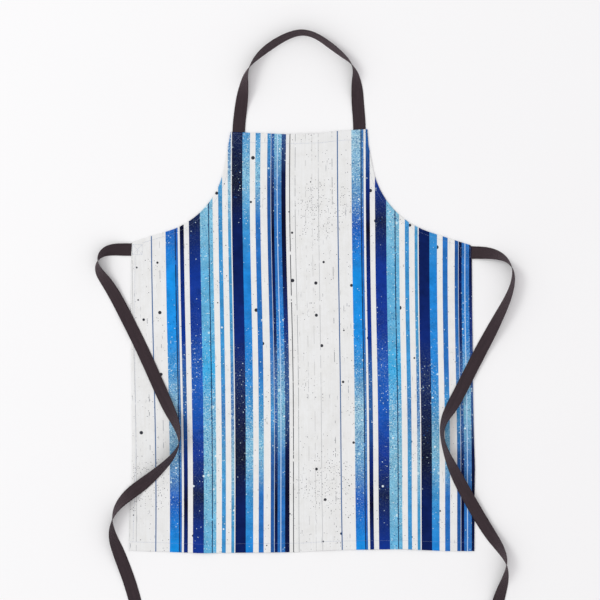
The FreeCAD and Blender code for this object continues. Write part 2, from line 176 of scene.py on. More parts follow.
def rests(x, y, inward):
    """Height of the cloth's own underside: on its turnings at the edge, near the ground inside them."""
    x, y = np.asarray(x, float), np.asarray(y, float)
    above_foot = np.where(y > TOP - BY_TOP, BIB_TURNING, SIDE_TURNING)
    depth = np.where(y < BOTTOM + BY_FOOT, BOTTOM_TURNING, above_foot)
    sunk = ramp(inward, depth, depth + 9 * MM)
    at_tie = 1 - ramp(np.hypot(np.abs(x) - TIE_ROOT[0], y - TIE_ROOT[1]), 0.020, 0.034)
    at_neck = 1 - ramp(np.hypot(np.abs(x) - NECK_ROOT[0], y - NECK_ROOT[1]), 0.018, 0.030)
    over_webbing = np.maximum(at_tie, at_neck)
    sunk = sunk * (1 - over_webbing)
    return TURNING * (1 - 0.6 * sunk) + OVER_SEWN_END * over_webbing


LOWEST = 0.35 * MM  # the lowest layer's height where no wrinkle lifts it


def ground(x, y):
    """Height of the lying apron's lowest layer above the surface: its wrinkles, kept low at the edges."""
    x, y = np.asarray(x, float), np.asarray(y, float)
    calm = 1 - 0.55 * ramp(np.abs(x), 0.27, 0.34) * (1 - ramp(y, 0.2, 0.24))
    return waves(x, y) * calm + LOWEST


# How far the edges lie from an even cut, in millimetres, by height on the cloth.
LEFT_SLIP = [(-422, 0), (-220, 5), (195, 5), (240, 0), (422, -3)]
RIGHT_SLIP = [(-422, 2), (-250, 5), (-100, 0), (60, -3), (190, -3), (240, -10), (390, -9), (422, -5)]
BIB_SAG = [(-138, 0), (-75, 4), (-30, 7), (36, 7), (80, 2), (138, 0)]
FOOT_HANG = [(-344, 4), (-200, -1), (0, 1), (60, 5), (200, 7), (290, 3), (344, 3)]


def knots(value, points):
    return np.interp(value, [at for at, _ in points], [amount for _, amount in points])


def shifted(x, y):
    """Where a point of the cut cloth lies: the cut is even, the way it lies is a little crooked."""
    x, y = np.asarray(x, float), np.asarray(y, float)
    share = np.clip(np.abs(x) / half_width(np.clip(y, BOTTOM, TOP)), 0, 1) ** 2
    bib = ramp(y, 0.24, 0.42)
    waist = np.exp(-(((y - 0.19) / 0.07) ** 2)) * ramp(np.abs(x), 0.15, 0.34)
    slip = np.where(x < 0, knots(y * 1000, LEFT_SLIP), knots(y * 1000, RIGHT_SLIP))
    ripple = 1.2 * np.sin(y * 11 + 1) * ramp(np.abs(x), 0.2, 0.34) * np.sign(x) * (1 - bib)
    dx = slip * share + ripple
    dy = 2.6 * bib * x / 0.13 - 3 * waist * np.sign(x)
    dy = dy + knots(x * 1000, FOOT_HANG) * (1 - ramp(y, BOTTOM, -0.25))
    dy = dy - knots(x * 1000, BIB_SAG) * ramp(y, 0.35, TOP)
    return x + dx * MM, y + dy * MM


# ---------------------------------------------------------------- outline of the panel
def half_width(y):
    """Half the cut cloth's width at a height y."""
    y = np.asarray(y, float)
    slope = HALF_WIDTH + (y - WAIST) * (SLOPE_END[0] - HALF_WIDTH) / (SLOPE_END[1] - WAIST)
    reach = np.sqrt(np.maximum(ARC_RADIUS ** 2 - (y - ARC_CENTRE[1]) ** 2, 0))
    arc = ARC_CENTRE[0] - reach
    flare = FLARE_START[0] + (y - FLARE_START[1]) * (BIB_HALF - FLARE_START[0]) / (TOP - FLARE_START[1])
    return np.where(y <= WAIST, HALF_WIDTH,
                    np.where(y <= SLOPE_END[1], slope, np.where(y <= FLARE_START[1], arc, flare)))


def even(points, step):
    """The same line with corners about a step apart."""
    points = np.asarray(points, float)
    along = np.concatenate([[0], np.cumsum(np.linalg.norm(np.diff(points, axis=0), axis=1))])
    count = max(2, int(round(along[-1] / step)) + 1)
    wanted = np.linspace(0, along[-1], count)
    return np.stack([np.interp(wanted, along, points[:, k]) for k in range(points.shape[1])], axis=1)


def armhole_line(step, low=WAIST, high=TOP):
    """The right armhole's edge, from the waist corner up to the bib."""
    ys = np.concatenate([np.linspace(WAIST, SLOPE_END[1], 40), np.linspace(SLOPE_END[1], TOP, 400)[1:]])
    line = even(np.stack([half_width(ys), ys], axis=1), step)
    return line[(line[:, 1] >= low - 1e-6) & (line[:, 1] <= high + 1e-6)]


def flipped(points):
    """The left-hand twin of a right-hand line."""
    return np.asarray(points) * [-1, 1]


right_edge = np.concatenate([even([(HALF_WIDTH, BOTTOM), (HALF_WIDTH, WAIST)], 2 * MM), armhole_line(2 * MM)])
bottom_rim = even([(-HALF_WIDTH, BOTTOM), (HALF_WIDTH, BOTTOM)], 2 * MM)
top_rim = even([(-BIB_HALF, TOP), (BIB_HALF, TOP)], 2 * MM)
outline = np.concatenate([right_edge, flipped(right_edge)[::-1], bottom_rim, top_rim])
EDGE_TREE = kdtree.KDTree(len(outline))
for number, (edge_x, edge_y) in enumerate(outline):
    EDGE_TREE.insert((edge_x, edge_y, 0), number)
EDGE_TREE.balance()


def lay(x, y, height):
    """3-D points of the lying apron for points of the cut cloth at a height above its lowest layer."""
    plan_x, plan_y = shifted(x, y)
    return np.stack([plan_x, plan_y, ground(plan_x, plan_y) + height], axis=-1)


TILE_START = 5  # the print's repeat starts this far above the bottom edge, in millimetres


def stripe_drift(up, x):
    """How far the stripes lie to the left of upright, in millimetres: they lean and wander a little."""
    lean = 0.010 + 0.0025 * np.cos((x - 100) / 65)
    left = 2.1 * np.sin((up - 60) / 120)
    right = -1.3 * np.exp(-(((up - 450) / 190) ** 2))
    return up * lean + 0.8 * np.sin(up / 95 + x / 143) - left - (right - left) * ramp(x, -40, 60)


def printed(x, y):
    """Where a point of the cut cloth is in the print, from the print's lower left corner."""
    plan_x, plan_y = shifted(x, y)
    up = (plan_y - BOTTOM) * 1000 - TILE_START
    drift = stripe_drift(up, plan_x * 1000)
    place = np.stack([plan_x + HALF_WIDTH + drift * MM, up * MM, np.zeros_like(up)], axis=-1)
    return place.reshape(-1, 3)


# ---------------------------------------------------------------- meshes
def make_piece(name, points, faces, materials, replaces, attributes=None, face_materials=None):
    """A smooth mesh piece that rides on the body and stands for CAD nodes."""
    mesh = bpy.data.meshes.new(name)
    mesh.from_pydata([tuple(p) for p in points], [], faces)
    for key, values in (attributes or {}).items():
        layer = mesh.attributes.new(key, "FLOAT_VECTOR", "POINT")
        layer.data.foreach_set("vector", np.asarray(values, float).ravel())
    for material in materials:
        mesh.materials.append(material)
    if face_materials is not None:
        mesh.polygons.foreach_set("material_index", face_materials)
    mesh.polygons.foreach_set("use_smooth", [True] * len(mesh.polygons))
    mesh.validate()
    mesh.update()
    piece = bpy.data.objects.new(name, mesh)
    bpy.context.collection.objects.link(piece)
    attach(piece, BODY)
    if replaces:
        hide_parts(*replaces)
    return piece


def grid_faces(rows, columns, start=0, closed=False, flip=False):
    """Quads between rows of corners. A closed grid joins its last column to its first."""
    faces = []
    for row in range(rows - 1):
        for column in range(columns if closed else columns - 1):
            after = (column + 1) % columns
            a, b = start + row * columns + column, start + row * columns + after
            c, d = start + (row + 1) * columns + after, start + (row + 1) * columns + column
            faces.append((d, c, b, a) if flip else (a, b, c, d))
    return faces


LIP = 1.2 * MM  # how far the rounded edge reaches in
LIP_SHAPE = [(0.45, 0.97), (0.1, 0.80), (0.0, 0.52), (0.1, 0.24), (0.45, 0.06), (1.0, 0.02)]
COLUMNS = 173


def panel_rows():
    """Heights of the rows of corners, closer together where the edge runs nearly level."""
    low = np.linspace(BOTTOM + LIP, WAIST - 0.3 * MM, 155)
    slope = np.linspace(WAIST + 0.4 * MM, SLOPE_END[1], 14)
    arc = np.linspace(SLOPE_END[1], FLARE_START[1], 42)[1:]
    bib = np.linspace(FLARE_START[1], TOP - LIP, 21)[1:]
    return np.concatenate([low, slope, arc, bib])


def make_panel(materials):
    ys = panel_rows()
    inner = half_width(ys) - LIP
    # Along the slope the edge's own normal leans, so the rim moves in further there.
    inner -= np.where((ys > WAIST) & (ys < 0.26), 2.4 * MM * (1 - ramp(ys, WAIST, 0.26)), 0)
    across = np.linspace(-1, 1, COLUMNS)
    x, y = inner[:, None] * across[None, :], np.repeat(ys[:, None], COLUMNS, axis=1)
    inward = nearest_edge(x, y)
    under = rests(x, y, inward)
    top = lay(x, y, under + CLOTH).reshape(-1, 3)
    low = lay(x, y, under).reshape(-1, 3)
    rows = len(ys)
    flat = np.stack([x, y], axis=-1).reshape(-1, 2)

    ring = ([(0, c) for c in range(COLUMNS)] + [(r, COLUMNS - 1) for r in range(1, rows)]
            + [(rows - 1, c) for c in range(COLUMNS - 2, -1, -1)] + [(r, 0) for r in range(rows - 2, 0, -1)])
    index = np.array([r * COLUMNS + c for r, c in ring])
    rim = flat[index]
    edge = []
    for point in rim:
        found = EDGE_TREE.find((point[0], point[1], 0))[0]
        edge.append((found[0], found[1]))
    edge = np.array(edge)
    # Corners of the rim go to the cloth's own corners.
    for corner in ((-HALF_WIDTH, BOTTOM), (HALF_WIDTH, BOTTOM), (BIB_HALF, TOP), (-BIB_HALF, TOP)):
        edge[np.argmin(np.linalg.norm(rim - corner, axis=1))] = corner
    points, prints = [top], [printed(x, y)]
    height = TURNING + CLOTH
    for inward_share, tall in LIP_SHAPE:
        place = edge + (rim - edge) * inward_share
        points.append(lay(place[:, 0], place[:, 1], np.full(len(place), height * tall)))
        prints.append(printed(place[:, 0], place[:, 1]))
    points.append(low)
    prints.append(printed(x, y))
    faces = grid_faces(rows, COLUMNS)
    kinds = [0] * len(faces)
    first_ring = rows * COLUMNS
    count = len(ring)
    last = list(index)
    for number in range(len(LIP_SHAPE)):
        here = [first_ring + number * count + k for k in range(count)]
        for k in range(count):
            n = (k + 1) % count
            faces.append((last[n], last[k], here[k], here[n]))
        kinds += [0] * count
        last = here
    base = first_ring + len(LIP_SHAPE) * count
    for k in range(count):
        n = (k + 1) % count
        faces.append((last[n], last[k], base + index[k], base + index[n]))
    kinds += [1] * count
    back = grid_faces(rows, COLUMNS, base, flip=True)
    faces += back
    kinds += [1] * len(back)
    return make_piece("printed_panel", np.concatenate(points), faces, materials,
                      ["apron_panel"], {"print": np.concatenate(prints)}, kinds)


def inward_normals(line):
    """Unit normals of a plan line, to its left."""
    run = np.gradient(line, axis=0)
    run /= np.linalg.norm(run, axis=1)[:, None]
    return np.stack([-run[:, 1], run[:, 0]], axis=1)


def make_turning(name, line, normals, depths, material, node, start=LIP + 0.1 * MM):
    """A turned edge under the cloth: a flat strip with rounded edges, from the rim to its inner fold."""
    shape = [(0.0, 0.12), (0.0, 0.84), (0.06, 0.93), (0.35, 0.95), (0.65, 0.95), (0.93, 0.94), (0.985, 0.82),
             (1.0, 0.5), (0.985, 0.2), (0.93, 0.05), (0.65, 0.03), (0.35, 0.03), (0.06, 0.05)]
    depths = np.broadcast_to(np.asarray(depths, float), len(line))
    points, prints = [], []
    for share, tall in shape:
        depth = start + (depths - start) * share
        place = line + normals * depth[:, None]
        points.append(lay(place[:, 0], place[:, 1], np.full(len(line), TURNING * tall)))
        mirrored = line - normals * depth[:, None]
        prints.append(printed(mirrored[:, 0], mirrored[:, 1]))
    count = len(shape)
    points = np.stack(points, axis=1).reshape(-1, 3)
    prints = np.stack(prints, axis=1).reshape(-1, 3)
    faces = grid_faces(len(line), count, closed=True)
    faces.append(tuple(range(count - 1, -1, -1)))
    faces.append(tuple(range(len(points) - count, len(points))))
    piece = make_piece(name, points, faces, [material], [node], {"print": prints})
    fix_normals(piece)
    return piece


def fix_normals(piece):
    """All faces outward."""
    shape = bmesh.new()
    shape.from_mesh(piece.data)
    bmesh.ops.recalc_face_normals(shape, faces=shape.faces)
    shape.to_mesh(piece.data)
    shape.free()


STITCH_PITCH, STITCH_LENGTH = 3.1 * MM, 2.6 * MM
STITCH_WIDE, STITCH_TALL = 0.32 * MM, 0.24 * MM
# Rings of a stitch: place along it, fatness and height, each as a share of its half size.
STITCH_RINGS = [
    (-1.0, 0.25, -0.5), (-0.8, 0.75, 0.3), (-0.35, 1.0, 0.75),
    (0.35, 1.0, 0.75), (0.8, 0.75, 0.3), (1.0, 0.25, -0.5),
]
STITCH_SIDES = 6


def stitch_mesh(centres, headings, ups):
    """Short rounded stitches that dip into the cloth at both ends."""
    points, faces = [], []
    for centre, heading, up in zip(centres, headings, ups):
        side = np.cross(up, heading)
        base = len(points)
        for along, fat, lift in STITCH_RINGS:
            middle = centre + heading * along * STITCH_LENGTH / 2 + up * lift * STITCH_TALL / 2
            for k in range(STITCH_SIDES):
                angle = 2 * math.pi * (k + 0.5) / STITCH_SIDES
                points.append(middle + side * math.cos(angle) * fat * STITCH_WIDE / 2
                              + up * math.sin(angle) * fat * STITCH_TALL / 2)
        rings = len(STITCH_RINGS)
        faces += grid_faces(rings, STITCH_SIDES, base, closed=True)
        faces.append(tuple(base + k for k in range(STITCH_SIDES - 1, -1, -1)))
        faces.append(tuple(base + (rings - 1) * STITCH_SIDES + k for k in range(STITCH_SIDES)))
    return points, faces


def row_of_stitches(line, height):
    """Centres, headings and ups of stitches along a line on the cut cloth, at the cloth's front."""
    ends = even(line, STITCH_PITCH)
    inward = nearest_edge(ends[:, 0], ends[:, 1])
    tops = lay(ends[:, 0], ends[:, 1], rests(ends[:, 0], ends[:, 1], inward) + CLOTH + height)
    centres = (tops[1:] + tops[:-1]) / 2
    headings = tops[1:] - tops[:-1]
    headings /= np.linalg.norm(headings, axis=1)[:, None]
    side = np.cross(headings, [0, 0, 1.0])
    ups = np.cross(side, headings)
    ups /= np.linalg.norm(ups, axis=1)[:, None]
    return centres, headings, ups


def make_stitches(name, lines, material, node):
    rows = [row_of_stitches(line, 0.02 * MM) for line in lines]
    points, faces = stitch_mesh(*(np.concatenate(part) for part in zip(*rows)))
    return make_piece(name, points, faces, [material], [node])


# ---------------------------------------------------------------- webbing
def spline_points(name, controls):
    """Points of one smooth line through three-number controls, as Blender's NURBS gives them."""
    curve = bpy.data.curves.new(name, "CURVE")
    curve.dimensions = "3D"
    curve.resolution_u = LINE_RESOLUTION
    spline = curve.splines.new("NURBS")
    spline.points.add(len(controls) - 1)
    for point, control in zip(spline.points, controls):
        point.co = (*control, 1)
    spline.order_u = 3
    spline.use_endpoint_u = True
    holder = bpy.data.objects.new(name, curve)
    mesh = bpy.data.meshes.new_from_object(holder)
    found = np.array([vertex.co[:] for vertex in mesh.vertices])
    bpy.data.objects.remove(holder)
    bpy.data.curves.remove(curve)
    bpy.data.meshes.remove(mesh)
    return found


def on_cloth(x, y):
    """Whether plan points lie over the panel."""
    inside = np.abs(x) <= half_width(np.clip(y, BOTTOM, TOP))
    return inside & (y >= BOTTOM) & (y <= TOP)


def eased(values, reach):
    """A running maximum and then a running mean, so that the webbing rides over steps."""
    count = len(values)
    high = np.array([values[max(0, k - reach):min(count, k + reach + 1)].max() for k in range(count)])
    return np.array([high[max(0, k - reach):min(count, k + reach + 1)].mean() for k in range(count)])


LOOSE_FROM = 0.06  # metres from a sewn end to where the webbing cups in full
SEWN_LIFT = 0.30 * MM  # height of sewn webbing's underside where no wrinkle lifts it


def with_cloth(route, sewn_at_end):
    """A route in metres. Its sewn ends, two points each, move with the crooked cloth that holds them."""
    points = [(x * MM, y * MM, tilt, lift * MM) for x, y, tilt, lift in route]
    for root, beside in ((0, 1), (-1, -2)) if sewn_at_end else ((0, 1),):
        x, y = points[root][:2]
        moved_x, moved_y = shifted(x, y)
        for number in (root, beside):
            here_x, here_y, tilt, lift = points[number]
            points[number] = (here_x + float(moved_x) - x, here_y + float(moved_y) - y, tilt, lift)
    return points


def resting_route(name, route, sewn_at_end):
    """Centre line, headings and tilts of a length of webbing lying on the ground and over the cloth."""
    route = with_cloth(route, sewn_at_end)
    line = spline_points(name, [(x, y, 0) for x, y, _, _ in route])
    lean = spline_points(name + "_lean", [(math.radians(tilt), lift * 100, 0) for _, _, tilt, lift in route])
    along = np.concatenate([[0], np.cumsum(np.linalg.norm(np.diff(line, axis=0), axis=1))])
    steps = np.linspace(0, along[-1], int(round(along[-1] / (2.5 * MM))) + 1)
    line = np.stack([np.interp(steps, along, line[:, k]) for k in range(2)], axis=1)
    tilt = np.interp(steps, along, lean[:, 0])
    lift = np.interp(steps, along, lean[:, 1]) / 100
    heading = np.gradient(line, axis=0)
    heading /= np.linalg.norm(heading, axis=1)[:, None]
    right = np.stack([heading[:, 1], -heading[:, 0]], axis=1)
    sewn = steps < SEWN_REACH
    if sewn_at_end:
        sewn |= steps > steps[-1] - SEWN_REACH
    support = np.zeros(len(steps))
    for share in (-1, -0.5, 0, 0.5, 1):
        place = line + right * (share * WEBBING_WIDTH / 2 * np.cos(tilt))[:, None]
        over = on_cloth(place[:, 0], place[:, 1]) & ~sewn
        tops = ground(place[:, 0], place[:, 1]) + TURNING + CLOTH
        support = np.maximum(support, np.where(over, tops, 0))
    support = np.where(sewn, 0, eased(support, 5))
    lower = np.maximum(support, np.minimum(lift, 1 * MM)) + 0.25 * MM
    lower += 0.5 * MM * (0.5 + 0.5 * np.sin(steps * 61)) * (~sewn)
    lower = np.where(sewn, SEWN_LIFT + ground(line[:, 0], line[:, 1]) - LOWEST, lower)
    blend = eased(np.where(sewn, 0.0, 1.0), 4)
    lower = np.convolve(np.pad(lower, 3, mode="edge"), np.ones(7) / 7, "valid") * blend + lower * (1 - blend)
    z = lower + WEBBING_WIDTH / 2 * np.abs(np.sin(tilt)) + WEBBING_THICK / 2 * np.abs(np.cos(tilt))
    centre = np.column_stack([line, z])
    loose = ramp(steps, SEWN_REACH, LOOSE_FROM)
    if sewn_at_end:
        loose = loose * ramp(steps[-1] - steps, SEWN_REACH, LOOSE_FROM)
    curl = CURL * np.sin(steps * 23 + 1) * loose
    return {"steps": steps, "centre": centre, "heading": heading, "tilt": tilt, "curl": curl,
            "length": along[-1]}


RIBBON_ACROSS = [-1.0, -0.985, -0.93, -0.8, -0.6, -0.3, 0.0, 0.3, 0.6, 0.8, 0.93, 0.985, 1.0]
# The thickness at each of those places, fuller at the selvedges.
RIBBON_THICK = [0.25, 0.7, 1.0, 0.93, 0.9, 0.9, 0.9, 0.9, 0.9, 0.93, 1.0, 0.7, 0.25]


def ribbon_rings(centres, headings, tilts, alongs, curls):
    """Rings of corners round flat webbing, and the weave's own coordinates."""
    up = np.array([0, 0, 1.0])
    points, weave = [], []
    for centre, heading, tilt, along, bend in zip(centres, headings, tilts, alongs, curls):
        right = np.array([heading[1], -heading[0], 0])
        across = right * math.cos(tilt) + up * math.sin(tilt)
        normal = up * math.cos(tilt) - right * math.sin(tilt)
        for side in (1, -1):
            order = list(zip(RIBBON_ACROSS, RIBBON_THICK))
            for share, thick in (order if side == 1 else order[::-1]):
                points.append(centre + across * share * WEBBING_WIDTH / 2
                              + normal * (side * thick * WEBBING_THICK / 2 + bend * (share * share - 0.4)))
                weave.append((share * WEBBING_WIDTH / 2, along, side))
    return points, weave


def make_ribbon(name, rings, weave, material, nodes):
    count = 2 * len(RIBBON_ACROSS)
    faces = grid_faces(len(rings) // count, count, closed=True)
    faces.append(tuple(range(count - 1, -1, -1)))
    faces.append(tuple(range(len(rings) - count, len(rings))))
    piece = make_piece(name, rings, faces, [material], nodes, {"weave": weave})
    fix_normals(piece)
    return piece


# ---------------------------------------------------------------- materials
def linear(red, green, blue):
    """A display colour as linear light."""
    light = [((c / 255 + 0.055) / 1.055) ** 2.4 if c > 10 else c / 255 / 12.92 for c in (red, green, blue)]
    return (*light, 1)


class Nodes:
    """A material's node tree, built by short calls.

    An input is a number, a colour or another node's output.
    """

    def __init__(self, name):
        self.material = bpy.data.materials.new(name)
        self.material.use_nodes = True
        self.tree = self.material.node_tree
        self.tree.nodes.clear()

    def add(self, kind, inputs=None, **settings):
        node = self.tree.nodes.new(kind)
        for key, value in settings.items():
            setattr(node, key, value)
        for key, value in (inputs or {}).items():
            self.feed(node.inputs[key], value)
        return node

    def feed(self, socket, value):
        if isinstance(value, bpy.types.NodeSocket):
            self.tree.links.new(value, socket)
        else:
            socket.default_value = value

    def math(self, operation, *values, clamp=False):
        node = self.add("ShaderNodeMath", operation=operation, use_clamp=clamp)
        for socket, value in zip(node.inputs, values):
            self.feed(socket, value)
        return node.outputs[0]

    def mix(self, share, first, second, blend="MIX"):
        node = self.add("ShaderNodeMix", data_type="RGBA", blend_type=blend)
        for socket, value in ((node.inputs[0], share), (node.inputs[6], first), (node.inputs[7], second)):
            self.feed(socket, value)
        return node.outputs[2]

    def mix_number(self, share, first, second):
        node = self.add("ShaderNodeMix", data_type="FLOAT")
        for socket, value in ((node.inputs[0], share), (node.inputs[2], first), (node.inputs[3], second)):
            self.feed(socket, value)
        return node.outputs[0]

    def noise(self, vector, scale, detail=2.0, roughness=0.5):
        return self.add("ShaderNodeTexNoise", {"Vector": vector, "Scale": scale, "Detail": detail,
                                               "Roughness": roughness}).outputs[0]

    def stretch(self, vector, x, y, z=1.0, shift=(0, 0, 0)):
        mapping = {"Vector": vector, "Scale": (x, y, z), "Location": shift}
        return self.add("ShaderNodeMapping", mapping).outputs[0]

    def rise(self, value, low, high):
        """0 below low and 1 above high."""
        node = self.add("ShaderNodeMapRange", {"Value": value, "From Min": low, "From Max": high}, clamp=True)
        return node.outputs[0]

    def wrapped(self, value, middle, period, reach):
        """Squared distance from a place in a repeat, over a reach."""
        away = self.math("WRAP", self.math("SUBTRACT", value, middle), period / 2, -period / 2)
        return self.math("POWER", self.math("ABSOLUTE", self.math("DIVIDE", away, reach)), 2.0)

    def dots(self, vector, scale, radius, chance):
        """Round dots of mixed sizes in some cells of a grid. Chance may be an output."""
        cells = self.add("ShaderNodeTexVoronoi", {"Vector": vector, "Scale": scale, "Randomness": 1.0},
                         voronoi_dimensions="2D")
        lots = self.add("ShaderNodeSeparateColor", {0: cells.outputs["Color"]})
        size = self.math("MULTIPLY", self.math("ADD", lots.outputs[1], 0.35), radius)
        inside = self.rise(self.math("SUBTRACT", size, cells.outputs["Distance"]), 0.0, 0.12 * radius)
        return self.math("MULTIPLY", inside, self.math("LESS_THAN", lots.outputs[0], chance))

    def finish(self, colour, roughness, height, bump, sheen=0.0, sheen_tint=(1, 1, 1, 1), specular=0.3):
        normal = self.add("ShaderNodeBump", {"Height": height, "Strength": 1.0, "Distance": bump}).outputs[0]
        shader = self.add("ShaderNodeBsdfPrincipled", {
            "Base Color": colour, "Roughness": roughness, "Normal": normal, "Specular IOR Level": specular,
            "Sheen Weight": sheen, "Sheen Roughness": 0.5, "Sheen Tint": sheen_tint})
        output = self.add("ShaderNodeOutputMaterial")
        self.tree.links.new(shader.outputs[0], output.inputs[0])
        return self.material


PAINT = {
    "haze": (146, 192, 212), "pale": (122, 186, 214), "mist": (102, 160, 200), "aqua": (94, 174, 216),
    "sky": (70, 150, 200), "cyan": (54, 170, 226), "azure": (58, 144, 204), "bright": (26, 142, 225),
    "clear": (32, 130, 210), "mid": (60, 118, 180), "denim": (40, 110, 186), "steel": (36, 88, 156),
    "slate": (42, 76, 134), "cobalt": (22, 86, 180), "royal": (20, 54, 144), "indigo": (18, 42, 116),
    "navy": (14, 32, 88), "midnight": (16, 26, 68), "ink": (12, 14, 40),
}
TILE_WIDE, TILE_TALL = 373.0, 549.0
STATIONS = (0, 100, 190, 280, 350, 430)  # heights up the repeat where the stripes change paint
# Each stripe: from, to across the repeat in millimetres, its paints at those heights, and how much
# it is spattered at them.
STRIPES = [
    (82, 100, "bright cobalt mist haze azure bright", (0, .3, .9, 1, .6, .1)),
    (100, 106, "denim cobalt mid mid mid denim", (0, .1, .4, .4, .3, 0)),
    (110, 118, "indigo ink indigo steel steel royal", (0, 0, 0, .1, .3, 0)),
    (128, 150, "royal midnight royal cobalt cobalt royal", (0, .1, .1, .1, .3, .1)),
    (150, 175, "aqua pale pale aqua cyan aqua", (.3, .5, .7, .9, .3, .3)),
    (186, 194, "azure azure sky mid azure azure", (.1, .2, .3, .3, .2, .1)),
    (205, 211, "sky sky haze mid mid sky", (0, .2, .7, .9, .6, .2)),
    (213, 234, "navy navy ink midnight navy indigo", (0, 0, .1, .1, .2, 0)),
    (234, 249, "clear azure pale azure clear clear", (0, .2, .8, .5, .3, .1)),
    (260, 270, "denim denim pale azure denim denim", (0, .1, .8, .3, .1, .1)),
    (284, 291, "steel steel steel azure mid denim", (0, 0, .1, .4, .4, .1)),
    (292, 298, "navy ink navy steel steel navy", (0, 0, .1, .3, .7, .1)),
    (298, 313, "denim denim mid pale mist clear", (.1, .1, .2, .8, .8, .4)),
    (313, 322, "midnight ink midnight slate slate indigo", (0, 0, 0, .3, .3, .1)),
]
# Thin lines: middle and half width across the repeat, paint, how solid they are, share of length drawn.
LINES = [
    (2, 0.5, (160, 160, 160), 0.5, 0.5), (15, 0.5, (140, 143, 148), 0.6, 0.75),
    (43, 0.5, (84, 88, 98), 0.8, 0.3), (54, 1.1, (52, 96, 150), 0.95, 1.0),
    (70, 0.5, (80, 90, 116), 0.7, 0.25), (101, 0.9, (22, 32, 64), 0.9, 0.85),
    (167, 1.0, (16, 44, 88), 0.95, 0.95), (291.5, 0.5, (150, 170, 200), 0.6, 0.8),
    (304.5, 0.9, (190, 215, 240), 0.85, 0.9), (330, 0.85, (30, 34, 46), 0.95, 0.8),
    (341, 0.5, (96, 102, 108), 0.75, 0.75), (362, 0.5, (150, 150, 152), 0.5, 0.4),
]


FLECK_SPOT = (25.0, 135.0)  # where in each repeat the flecks lie thickest, in millimetres
FLECK_REACH = 62.0


